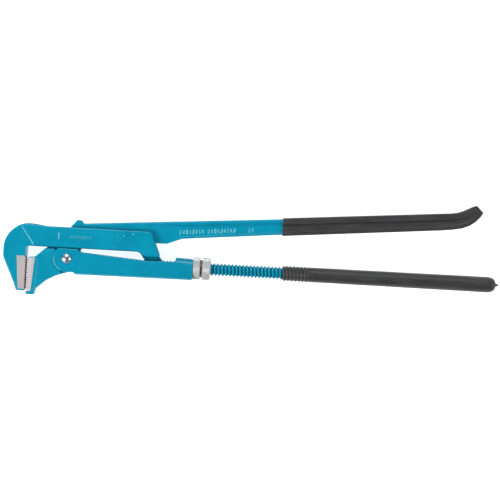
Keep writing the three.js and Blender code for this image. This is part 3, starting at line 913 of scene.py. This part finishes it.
def handle_section(height, flange, flange_height, web, rim, rim_height):
    """The ribbed cross-section of the upper handle, as points (z, y) from its lower edge."""
    half, low, mid = flange / 2, rim / 2, web / 2
    under, ease = height - flange_height, 1.0
    corners = [
        (-low, 0, 1.4), (low, 0, 1.4), (low, rim_height, 0.4), (mid, rim_height + ease, 0.4),
        (mid, under - ease, 0.4), (half, under, 0.6), (half, height, 1.6), (-half, height, 1.6),
        (-half, under, 0.6), (-mid, under - ease, 0.4), (-mid, rim_height + ease, 0.4),
        (-low, rim_height, 0.4),
    ]
    return outline(corners, fixed=4)


def upper_grip():
    """The dipped coat on the upper handle: an open sleeve that follows the ribs and the bent tip."""
    top = [
        (241.3, 62.3), (418.6, 77.2), (430, 78.1), (438, 79.4),
        (445, 81.9), (451, 85), (455.2, 87.2), (457.8, 88.1),
    ]
    low = [
        (241.3, 42.1), (419.6, 58.2), (433, 59.8), (444, 61.9),
        (452.5, 65.4), (459, 70.2), (464, 75.6), (466.5, 79.6),
    ]
    flat = [0, 0, 0.15, 0.35, 0.6, 0.8, 1, 1]
    stations = []
    for i in range(len(top) - 1):
        steps = 40 if i == 0 else 5
        for step in range(steps):
            share = step / steps
            pair = [Vector(a).lerp(Vector(b), share) for a, b in ((top[i], top[i + 1]), (low[i], low[i + 1]))]
            stations.append((*pair, flat[i] + (flat[i + 1] - flat[i]) * share))
    stations.append((Vector(top[-1]), Vector(low[-1]), 1.0))

    def ring(high, base, flatness, shrink, along):
        up = (high - base).normalized()
        ahead = Vector((up.y, -up.x))
        height = (high - base).length - 2 * shrink
        width = lambda size: size - 2 * shrink
        web = width(9.2 + 2.4 * flatness)
        rim = width(11.0 + 0.9 * flatness)
        foot = (7.4 - shrink) * (1 - flatness) + flatness * height * 0.42
        section = handle_section(height, width(13.4 - 1.2 * flatness), foot, web, rim, 4.2 - shrink)
        start = base + up * shrink + ahead * along
        return [(start.x + up.x * p.y, start.y + up.y * p.y, p.x) for p in section]

    rows = [ring(*stations[0], 0.9, 0.0), ring(*stations[0], 0.25, 0.05), ring(*stations[0], 0.0, 0.7)]
    rows += [ring(*station, 0.0, 0.7 if i == 0 else 0.0) for i, station in enumerate(stations[1:])]
    rows += [ring(*stations[-1], shrink, along) for shrink, along in ((0.15, 0.5), (0.55, 1.0), (1.15, 1.3))]
    return skin("upper_grip_body", rows)


def lower_grip():
    """The dipped coat on the lower handle, with the thread showing through and a drip at its end."""
    start, end = 244.0, 488.6
    stations = [start, start, start + 0.25, start + 0.7]
    stations += [start + 1.2 + 0.34 * step for step in range(112)]
    stations += [284 + 7.0 * step for step in range(28)]
    tail = [(474, 8.85), (477, 8.75), (479.5, 8.35), (481.5, 7.7), (483.2, 6.7), (484.4, 5.4), (485.0, 4.0)]
    tail += [(485.4, 2.8), (485.9, 2.0), (486.8, 1.5), (487.8, 1.1), (488.4, 0.6), (end, 0.05)]
    lip = {0: 7.3, 1: 7.8, 2: 8.1}

    def radius(number, x, angle):
        if number in lip:
            return lip[number]
        fade = min(1.0, max(0.0, (x - 262) / 20))
        base = 8.2 + (x - start) / 230 * 0.6
        phase = (x / PITCH - angle / (2 * math.pi)) % 1.0
        ridge = 0.5 - 0.5 * math.cos(2 * math.pi * phase)
        sway = 0.05 * math.sin(x * 0.11) * math.cos(angle + x * 0.02)
        return base - 0.5 * (1 - fade) + 1.05 * ridge ** 1.5 * (1 - fade) + sway

    sides = 48
    angles = [2 * math.pi * side / sides for side in range(sides)]
    rows = []
    for number, x in enumerate(stations):
        radii = [radius(number, x, a) for a in angles]
        rows.append([(x, r * math.cos(a), r * math.sin(a)) for r, a in zip(radii, angles)])
    for x, r in tail:
        rows.append([(x, r * math.cos(a), r * math.sin(a)) for a in angles])
    return skin("lower_grip_body", rows)


def leaf_spring():
    """Flat spring on the channel's floor, its free end bent up to the lever's heel."""
    strip = plate("leaf_spring_body", [
        (54, -10.3, 0.3), (54, -9.3, 0.3), (24.5, -9.3, 14), (13.8, -6.5, 0.8), (12.6, -7, 0.4),
        (14.3, -8, 1.4), (24, -10.3, 12),
    ], 9, 0.2)
    cut(strip, pin("hole", -30, 0, 1.7, 32, "Y", SPRING_RIVET))
    return strip


def spring_rivet():
    """Small domed rivet that holds the spring to the housing."""
    profile = [(-14.1, CLOSED), (-14.1, 1.5), (-9.1, 1.5), (-9.1, 2.7), (-8.7, 2.75)]
    for a in (0.35, 0.7, 1.05, 1.35, 1.57):
        profile.append((-8.7 + 0.8 * math.sin(a), max(CLOSED, 2.75 * math.cos(a))))
    return turned("spring_rivet_body", profile, 40, "Y", SPRING_RIVET)


def blacken_teeth(item, low, high):
    """Gives the milled flanks between two X positions the painted shade of the gap between the jaws."""
    left, right = (place(x, 0, 0).x for x in (low - 0.05, high + 0.05))
    return paint_faces(item, TOOTH_SHADE, lambda face: abs(face.normal.z) < 0.5 and left < face.center.x < right)


def hook_jaw_plate():
    """Toothed plate set in the hook head."""
    tip = FACE_X - FACE_GAP / 2
    teeth = toothed_edge(tip, -TOOTH_DEPTH, HOOK_TEETH_TOP)
    corners = [(-56.4, 3.9, 0.6), (tip - TOOTH_DEPTH, 3.9, 0.4), *teeth, (-53.4, LEDGE_Y, 0.6)]
    item = plate("hook_jaw_plate_body", corners, HEAD_WIDTH, 0.2, 2)
    return blacken_teeth(item, tip - TOOTH_DEPTH - 0.1, tip)


def lever_jaw_plate():
    """Toothed plate set in the lever jaw."""
    tip = FACE_X + FACE_GAP / 2
    teeth = toothed_edge(tip, TOOTH_DEPTH, JAW_TOP - 0.1)
    corners = [
        (tip + TOOTH_DEPTH, JAW_TOP, 0), (-35.8, JAW_TOP + 0.5, 0.5), (-38.8, -35.6, 0.8),
        (tip + TOOTH_DEPTH, -35.9, 0), *teeth[::-1],
    ]
    item = plate("lever_jaw_plate_body", corners, HEAD_WIDTH, 0.2, 2)
    return blacken_teeth(item, tip, tip + TOOTH_DEPTH + 0.1)


# Settings ----------------------------------------------------------------------------------


class WrenchSizes(bpy.types.PropertyGroup):
    """Sizes that a maker would change."""

    knurl_teeth: bpy.props.IntProperty(
        name="Knurl teeth", description="Teeth round each ring of the adjusting nut",
        default=90, min=24, max=120)
    knurl_depth: bpy.props.FloatProperty(
        name="Knurl depth", description="Depth of the nut's knurl",
        default=0.00028, subtype="DISTANCE", unit="LENGTH")
    camera_distance: bpy.props.FloatProperty(
        name="Camera distance", description="Height of the camera over the tool",
        default=2.2, subtype="DISTANCE", unit="LENGTH")
    view_width: bpy.props.FloatProperty(
        name="View width", description="Width of the view at the tool",
        default=0.5661, subtype="DISTANCE", unit="LENGTH")
    view_turn: bpy.props.FloatProperty(
        name="View turn", description="Turn of the camera about its own line of sight",
        default=math.radians(3.18), subtype="ANGLE")


class WrenchFinish(bpy.types.PropertyGroup):
    """Colours that a maker would change."""

    paint: bpy.props.FloatVectorProperty(
        name="Paint", description="Enamel on the forgings and the housing",
        default=(0.0002, 0.3, 0.462), subtype="COLOR", size=3, min=0, max=1)
    steel: bpy.props.FloatVectorProperty(
        name="Jaw steel", description="Bare ground jaw plates",
        default=(0.6, 0.56, 0.57), subtype="COLOR", size=3, min=0, max=1)
    zinc: bpy.props.FloatVectorProperty(
        name="Zinc", description="Plating of the nut",
        default=(0.65, 0.65, 0.65), subtype="COLOR", size=3, min=0, max=1)
    vinyl: bpy.props.FloatVectorProperty(
        name="Vinyl", description="Dipped coat of the handles",
        default=(0.039, 0.039, 0.041), subtype="COLOR", size=3, min=0, max=1)


# Operators ---------------------------------------------------------------------------------


class WRENCH_OT_stage(bpy.types.Operator):
    """Sets out the pale floor, the studio lights and the camera"""

    bl_idname = "wrench.stage"
    bl_label = "Stage"

    def execute(self, context):
        sizes = context.scene.wrench_sizes
        low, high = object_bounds()
        middle = (low + high) / 2
        mesh = bpy.data.meshes.new("floor")
        reach = 6.0
        corners = [(-reach, -reach, 0), (reach, -reach, 0), (reach, reach, 0), (-reach, reach, 0)]
        mesh.from_pydata(corners, [], [(0, 1, 2, 3)])
        floor = bpy.data.objects.new("floor", mesh)
        floor.location = (middle.x, middle.y, low.z - 0.0005)
        floor.data.materials.append(shared(floor_paper))
        context.scene.collection.objects.link(floor)
        floor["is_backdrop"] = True

        world = bpy.data.worlds.new("studio")
        world.use_nodes = True
        background = world.node_tree.nodes["Background"]
        background.inputs["Color"].default_value = (1, 1, 1, 1)
        background.inputs["Strength"].default_value = 0.14
        context.scene.world = world
        for name, place_at, size, power in (
            ("key", (-1.7, -0.8, 1.5), 1.1, 40),
            ("back", (-0.3, 1.8, 1.5), 1.2, 26),
            ("side", (1.9, -0.2, 1.4), 1.4, 16),
        ):
            light = bpy.data.lights.new(name, "AREA")
            light.size = size
            light.energy = power
            lamp = bpy.data.objects.new(name, light)
            lamp.location = middle + Vector(place_at)
            lamp.rotation_euler = (middle - lamp.location).to_track_quat("-Z", "Y").to_euler()
            context.scene.collection.objects.link(lamp)

        camera = bpy.data.cameras.new("camera")
        camera.lens = camera.sensor_width * sizes.camera_distance / sizes.view_width
        eye = bpy.data.objects.new("camera", camera)
        eye.location = middle + Vector((-0.0024, -0.0003, sizes.camera_distance))
        eye.rotation_euler = (0, 0, sizes.view_turn)
        context.scene.collection.objects.link(eye)
        context.scene.camera = eye
        context.scene.view_settings.view_transform = "Standard"
        return {"FINISHED"}


class WRENCH_OT_hook_lever(bpy.types.Operator):
    """Builds the hook lever forging with its threaded rod"""

    bl_idname = "wrench.hook_lever"
    bl_label = "Hook lever"

    def execute(self, context):
        finishes = (shared(enamel), shared(painted_highlight_enamel), shared(faint_print), shared(shaded_enamel))
        finish_piece(hook_lever(), "hook", "paint", finishes, "hook_lever")
        return {"FINISHED"}


class WRENCH_OT_jaw_lever(bpy.types.Operator):
    """Builds the jaw lever forging with the ribbed upper handle"""

    bl_idname = "wrench.jaw_lever"
    bl_label = "Jaw lever"

    def execute(self, context):
        finishes = (shared(enamel), shared(painted_highlight_enamel))
        finish_piece(jaw_lever(), "lever", "paint", finishes, "jaw_lever")
        return {"FINISHED"}


class WRENCH_OT_slide_housing(bpy.types.Operator):
    """Builds the sliding housing that carries the pivot"""

    bl_idname = "wrench.slide_housing"
    bl_label = "Sliding housing"

    def execute(self, context):
        finishes = (shared(enamel), shared(painted_highlight_enamel))
        finish_piece(slide_housing(), "housing", "paint", finishes, "slide_housing")
        return {"FINISHED"}


class WRENCH_OT_jaw_plates(bpy.types.Operator):
    """Builds the two toothed jaw plates"""

    bl_idname = "wrench.jaw_plates"
    bl_label = "Jaw plates"

    def execute(self, context):
        # The painted shade for the milled flanks of the teeth.
        scale = shared(painted_tooth_shade)
        finish_piece(hook_jaw_plate(), "hook", "jaw_steel", (shared(ground_steel), scale), "hook_jaw_plate")
        finish_piece(lever_jaw_plate(), "lever", "jaw_steel", (shared(fresh_steel), scale), "lever_jaw_plate")
        return {"FINISHED"}


class WRENCH_OT_adjusting_nut(bpy.types.Operator):
    """Builds the knurled adjusting nut"""

    bl_idname = "wrench.adjusting_nut"
    bl_label = "Adjusting nut"

    def execute(self, context):
        finish_piece(adjusting_nut(), "nut", "nut_zinc", (shared(zinc), shared(painted_groove_shade)), "adjusting_nut")
        return {"FINISHED"}


class WRENCH_OT_fasteners(bpy.types.Operator):
    """Builds the pivot rivet, the leaf spring and the spring's rivet"""

    bl_idname = "wrench.fasteners"
    bl_label = "Rivets and spring"

    def execute(self, context):
        finish_piece(pivot_rivet(), "housing", "rivet_steel", (shared(bright_rivet),), "pivot_rivet")
        finish_piece(leaf_spring(), "housing", "spring_steel", (shared(spring_steel),), "leaf_spring")
        finish_piece(spring_rivet(), "housing", "spring_steel", (shared(spring_steel),), "spring_rivet")
        return {"FINISHED"}


class WRENCH_OT_grips(bpy.types.Operator):
    """Builds the dipped coats of both handles"""

    bl_idname = "wrench.grips"
    bl_label = "Dipped grips"

    def execute(self, context):
        vinyl = (shared(dipped_vinyl),)
        finish_piece(upper_grip(), "lever", "grip_vinyl", vinyl, "upper_grip")
        finish_piece(lower_grip(), "hook", "grip_vinyl", vinyl, "lower_grip")
        return {"FINISHED"}


STEPS = (
    WRENCH_OT_stage, WRENCH_OT_hook_lever, WRENCH_OT_jaw_lever, WRENCH_OT_slide_housing,
    WRENCH_OT_jaw_plates, WRENCH_OT_adjusting_nut, WRENCH_OT_fasteners, WRENCH_OT_grips,
)


class VIEW3D_PT_wrench(bpy.types.Panel):
    """Lists the pieces and their settings in the sidebar"""

    bl_label = "Lever pipe wrench"
    bl_space_type = "VIEW_3D"
    bl_region_type = "UI"
    bl_category = "Wrench"

    def draw(self, context):
        for group in (context.scene.wrench_sizes, context.scene.wrench_finish):
            for name in group.__annotations__:
                self.layout.prop(group, name)
        for step in STEPS:
            self.layout.operator(step.bl_idname)


CLASSES = (WrenchSizes, WrenchFinish, *STEPS, VIEW3D_PT_wrench)


def register():
    for item in CLASSES:
        bpy.utils.register_class(item)
    bpy.types.Scene.wrench_sizes = bpy.props.PointerProperty(type=WrenchSizes)
    bpy.types.Scene.wrench_finish = bpy.props.PointerProperty(type=WrenchFinish)


def unregister():
    del bpy.types.Scene.wrench_finish
    del bpy.types.Scene.wrench_sizes
    for item in reversed(CLASSES):
        bpy.utils.unregister_class(item)


def main():
    register()
    for step in STEPS:
        group, name = step.bl_idname.split(".")
        getattr(getattr(bpy.ops, group), name)()


if __name__ == "__main__":
    main()
